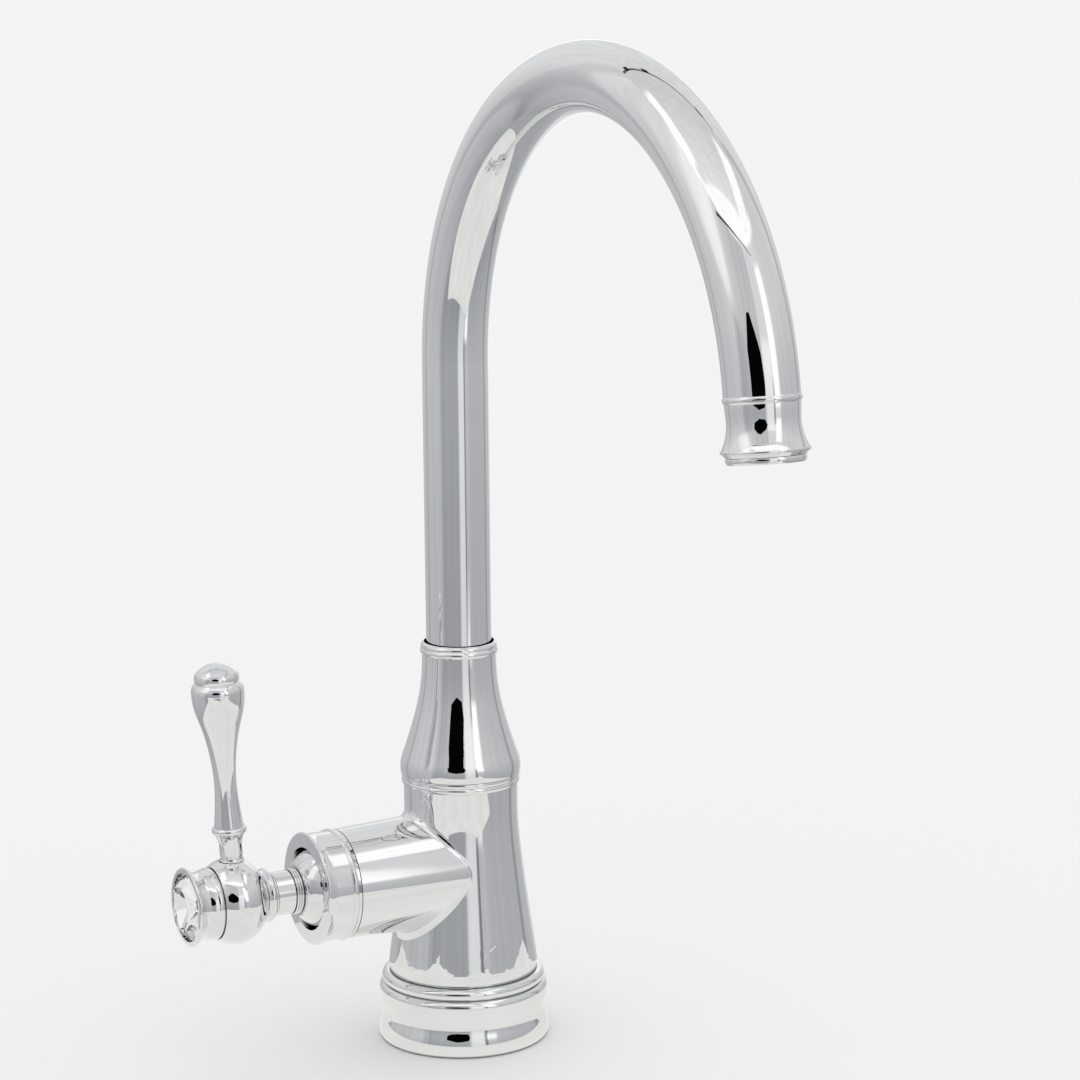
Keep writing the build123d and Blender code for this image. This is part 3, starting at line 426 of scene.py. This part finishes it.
# ---- Studio ---------------------------------------------------------------------------------
# A white tent on a pale floor. Its cloth is brighter by the lamps and darker between them, and
# the bright metal shows that as soft upright bands, with the opening for the lens among them.

world = bpy.data.worlds.new("tent_light")
bpy.context.scene.world = world
world.use_nodes = True
sky = world.node_tree
sky.nodes.clear()

# The sky lights the tap in white, and where it is seen, mirrored or looked through it is grey.
ray = sky.nodes.new("ShaderNodeLightPath").outputs
seen = compute(sky, "MAXIMUM", ray["Is Glossy Ray"], ray["Is Transmission Ray"])
seen = compute(sky, "MAXIMUM", ray["Is Camera Ray"], seen)
light = add_node(sky, "ShaderNodeBackground", Color=(1, 1, 1))
backdrop = add_node(sky, "ShaderNodeBackground", Color=(0.896, 0.896, 0.896))
blend = sky.nodes.new("ShaderNodeMixShader")
for socket, source in zip(blend.inputs, (seen, light.outputs[0], backdrop.outputs[0])):
    feed(sky, socket, source)
sky.links.new(blend.outputs[0], sky.nodes.new("ShaderNodeOutputWorld").inputs[0])


def stage_piece(name, shape, material):
    """Turn a finished bmesh into an object in the scene that rides on no body of the tap."""
    made = stand(name, shape, material)
    return made


floor_paint = Finish(
    "floor_paint", Base_Color=(0.9, 0.9, 0.9), Roughness=1.0, Specular_IOR_Level=0.0
)
ground = bmesh.new()
bmesh.ops.create_grid(ground, x_segments=1, y_segments=1, size=15)
floor = stage_piece("floor", ground, floor_paint.material)
floor.visible_glossy = False

# One cloth for the whole tent. Its own colours say how brightly each part is lit, and its folds
# run down it as fine streaks.
cloth = Effect("cloth_folds", {}, ("Folds",))
cloth.put("Folds", cloth.remap(cloth.noise(9.0, 3.0, (1.0, 1.0, 0.07)), 0.3, 0.7, 0.94, 1.06))
lit_cloth = bpy.data.materials.new("lit_cloth")
lit_cloth.use_nodes = True
weave = lit_cloth.node_tree
weave.nodes.clear()
painted = add_node(weave, "ShaderNodeAttribute", {"attribute_name": "glow"}).outputs["Color"]
folds = add_node(weave, "ShaderNodeGroup", {"node_tree": cloth.tree}).outputs["Folds"]
lamp = add_node(weave, "ShaderNodeEmission", Color=painted, Strength=folds)
weave.links.new(lamp.outputs[0], weave.nodes.new("ShaderNodeOutputMaterial").inputs[0])

tent_r = 1.15
tent_top = 1.6
tent_foot = -0.8
chrome_shine = 0.81  # how much of the light chrome gives back


def hang(name, shape, shade, tint=None):
    """Hang a cloth in the tent, made as seen from the lens, which looks along +Y.

    The shade of each place is the grey, 0 to 255, that it should show in chrome. Where no tint is
    given, shaded cloth is a little blue, like the daylight beside the lamps.
    """
    glow = shape.verts.layers.float_color.new("glow")
    for vert in shape.verts:
        tone = min(255, shade(vert.co))
        level = (tone / 255) ** 2.2 / chrome_shine
        blue = min(1, max(0, (218 - tone) / 60))
        colour = tint or (1 - 0.03 * blue, 1, 1 + 0.035 * blue)
        vert[glow] = (*(level * part for part in colour), 1)
    bmesh.ops.rotate(shape, matrix=spin, verts=shape.verts)
    made = stage_piece(name, shape, lit_cloth)
    made.visible_camera = made.visible_diffuse = made.visible_shadow = False
    made.visible_volume_scatter = False


def toward(angle, distance, height):
    """Place in the tent: an angle to the right of the lens, a distance from the tap, a height."""
    turn = math.radians(angle)
    return Vector((distance * math.sin(turn), -distance * math.cos(turn), height))


def within(place, middle, half, fade):
    """One within a distance of the middle, and less and less over the fade beyond it."""
    return min(1.0, max(0.0, (half + fade - abs(place - middle)) / fade))


# The wall darkens towards the table. Each row is a lamp or a fold: its angle, half its width and
# its fade in degrees, its foot and its top in metres, and how much lighter or darker it is.
wall_lights = (
    (-20, 26, 5, -0.9, 1.42, -24),
    (-51, 3, 4, -0.9, 0.6, -16),
    (-60, 14, 18, 0.6, 1.7, 26),
    (19, 8, 4, -0.9, 0.62, 32),
    (38, 6, 3, 0.3, 1.15, 60),
    (36, 3, 3, -0.6, -0.12, 75),
    (30, 1, 2, -0.05, 0.4, -70),
    (85, 30, 10, -0.9, 1.7, -9),
    (118, 3, 4, -0.9, 1.7, -24),
    (167, 7, 14, -0.25, 0.55, 34),
    (-178, 6, 8, 0.15, 0.55, 26),
    (-122, 2, 4, -0.9, 1.7, -16),
    (-5, 70, 16, 1.5, 1.7, 50),
)


def wall_shade(place):
    tone = 180 + (42 * min(place.z, 0.75) if place.z > 0 else 26 * place.z)
    angle = math.degrees(math.atan2(place.x, -place.y))
    for middle, half, fade, low, high, change in wall_lights:
        away = (angle - middle + 180) % 360 - 180
        level = within(place.z, (low + high) / 2, (high - low) / 2, 0.08)
        tone += change * level * within(away, 0, half, fade)
    return tone


wall = bmesh.new()
bmesh.ops.create_grid(wall, x_segments=240, y_segments=60, size=1)
for vert in wall.verts:
    height = tent_foot + (tent_top - tent_foot) * (vert.co.y + 1) / 2
    vert.co = toward(180 * vert.co.x, tent_r, height)
hang("tent_wall", wall, wall_shade)

# The roof is brightest under its three lamps: one across the front and one down each side. Each
# row is a lamp's middle, half its width and half its depth in metres.
roof_lights = ((-0.12, -1.02, 0.76, 0.18), (-1.0, -0.15, 0.2, 0.33), (0.83, -0.27, 0.13, 0.45))


def roof_shade(place):
    tone = 200 + 24 * within(place.y, -0.9, 0.2, 0.9) + 10 * within(place.y, 1.2, 0.55, 0.1)
    for x, y, half_width, half_depth in roof_lights:
        tone += 60 * within(place.x, x, half_width, 0.12) * within(place.y, y, half_depth, 0.12)
    return tone


for name, height, cells, shade in (
    ("tent_roof", tent_top, 90, roof_shade),
    ("tent_floor", tent_foot, 1, lambda place: 160),
):
    level = bmesh.new()
    bmesh.ops.create_grid(level, x_segments=cells, y_segments=cells, size=tent_r)
    bmesh.ops.translate(level, vec=(0, 0, height), verts=level.verts)
    hang(name, level, shade)


def patch(name, corners, tone, tint=None):
    """Flat piece with these corners, all of one shade."""
    flat = bmesh.new()
    bmesh.ops.contextual_create(flat, geom=[flat.verts.new(corner) for corner in corners])
    hang(name, flat, lambda place: tone, tint)


# The sheet of paper that the tap stands on.
sheet = ((-0.38, -0.48), (0.33, -0.48), (0.26, 0.085), (-0.24, 0.085))
cream = (1.0, 1.0, 0.965)
patch("paper", [(x, y, 0.4 * mm) for x, y in sheet], 219, cream)

# The lens looks in through a slit in the cloth, narrow at its top. Each row is a corner: its angle
# and its height.
slit = (
    (-9, 0.22),
    (6, 0.27),
    (10, 0.43),
    (6, 0.58),
    (-10, 0.76),
    (-17, 0.73),
    (-26, 0.51),
    (-23, 0.29),
)
grey = (1, 1, 1)
patch("lens_slit", [toward(angle, tent_r - 0.03, height) for angle, height in slit], 12, grey)

# Dark seams bind the flap over the lens and the back edge of the roof, which has three straps.
# Each row is a seam of the roof: its middle, half its length, its depth and its shade.
arch = bmesh.new()
bmesh.ops.create_grid(arch, x_segments=40, y_segments=1, size=1)
for vert in arch.verts:
    angle = -5 + 36 * vert.co.x
    height = 1.5 - 0.2 * vert.co.x ** 2 + 0.02 * (1 - 0.6 * vert.co.x) * vert.co.y
    vert.co = toward(angle, tent_r - 0.02, height)
hang("arch_seam", arch, lambda place: 60, grey)
roof_seams = (
    (-0.05, 0.9, 0.045, 95),
    (-0.65, 0.07, 0.09, 45),
    (-0.14, 0.06, 0.1, 45),
    (0.65, 0.06, 0.08, 55),
)
near = 0.56
for number, (x, half, depth, tone) in enumerate(roof_seams):
    left, right, far = x - half, x + half, near + depth
    z = tent_top - 0.01 - 0.005 * number
    patch(
        f"roof_seam_{number}",
        ((left, near, z), (right, near, z), (right, far, z), (left, far, z)),
        tone,
        grey,
    )

bpy.context.scene.view_settings.view_transform = "Standard"
